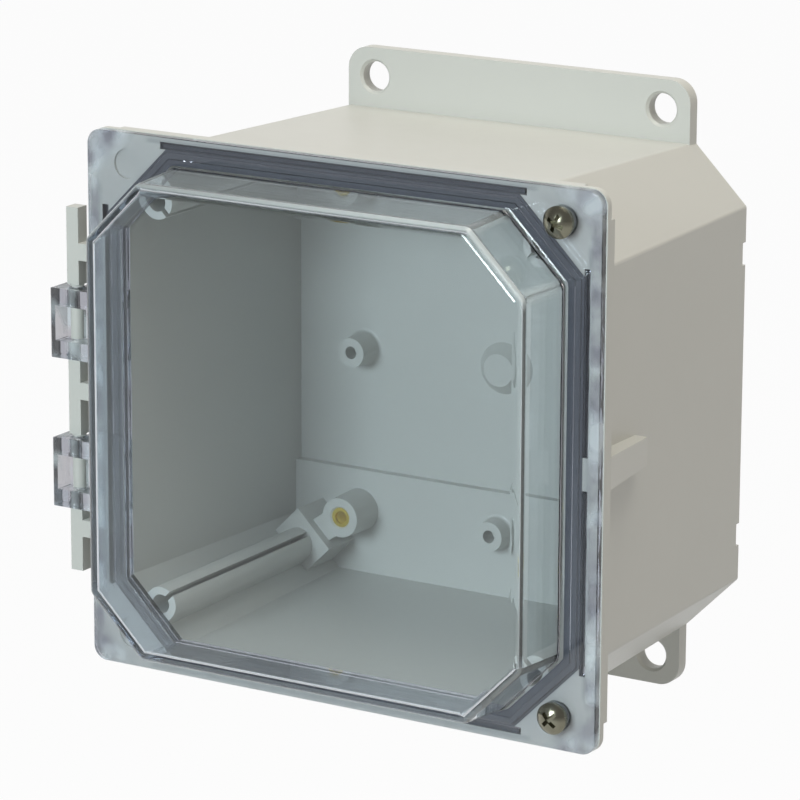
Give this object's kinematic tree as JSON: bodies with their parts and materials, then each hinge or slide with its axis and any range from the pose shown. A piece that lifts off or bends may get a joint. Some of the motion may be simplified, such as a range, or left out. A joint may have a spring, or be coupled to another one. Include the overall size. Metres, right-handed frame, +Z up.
{
  "type": "hinged polycarbonate enclosure",
  "caption": "Wall-mount octagonal junction box with mounting feet, a clear raised cover on a snap hinge at the left and captive cover screws at the right.",
  "frame": {"origin": "centre of the four foot holes, in the plane of the wall", "axes": "+X to the right as seen from the front, +Y into the wall, +Z up; the cover faces -Y and its hinge is on the -X side"},
  "size_m": [0.1904, 0.1295, 0.1906],
  "materials": {
    "grey_plastic": "satin moulded",
    "clear_plastic": "clear, polished",
    "dark_gasket": "poured foam",
    "screw_steel": "plain",
    "white_nylon": "plain",
    "insert_brass": "turned"
  },
  "bodies": {
    "base": {"base": "grey_plastic", "cover_insert_upper": "insert_brass", "cover_insert_lower": "insert_brass", "panel_insert_upper_right": "insert_brass", "panel_insert_upper_left": "insert_brass", "panel_insert_lower_right": "insert_brass", "panel_insert_lower_left": "insert_brass"},
    "cover": {"cover": "clear_plastic", "gasket": "dark_gasket", "screw_retainer_upper": "white_nylon", "screw_retainer_lower": "white_nylon"},
    "washer_upper": {"sealing_washer_upper": "white_nylon"},
    "screw_upper": {"cover_screw_upper": "screw_steel"},
    "washer_lower": {"sealing_washer_lower": "white_nylon"},
    "screw_lower": {"cover_screw_lower": "screw_steel"}
  },
  "joints": [
    {"name": "cover_hinge", "type": "hinge", "parent": "base", "child": "cover", "pos_m": [-0.0965, -0.1017, 0], "axis": [0, 0, -1], "range_deg": [0, 180]},
    {"name": "screw_travel_upper", "type": "slide", "parent": "cover", "child": "washer_upper", "axis": [0, -1, 0], "range_m": [0, 0.0079]},
    {"name": "screw_turn_upper", "type": "hinge", "parent": "washer_upper", "child": "screw_upper", "pos_m": [0.0745, -0.1086, 0.073], "axis": [0, -1, 0], "range_deg": [0, 3600]},
    {"name": "screw_travel_lower", "type": "slide", "parent": "cover", "child": "washer_lower", "axis": [0, -1, 0], "range_m": [0, 0.0079]},
    {"name": "screw_turn_lower", "type": "hinge", "parent": "washer_lower", "child": "screw_lower", "pos_m": [0.0745, -0.1086, -0.073], "axis": [0, -1, 0], "range_deg": [0, 3600]}
  ],
  "couplings": [
    {"joint": "screw_turn_upper", "follows": "screw_travel_upper", "rad_per_m": 7915.8},
    {"joint": "screw_turn_lower", "follows": "screw_travel_lower", "rad_per_m": 7915.8}
  ]
}
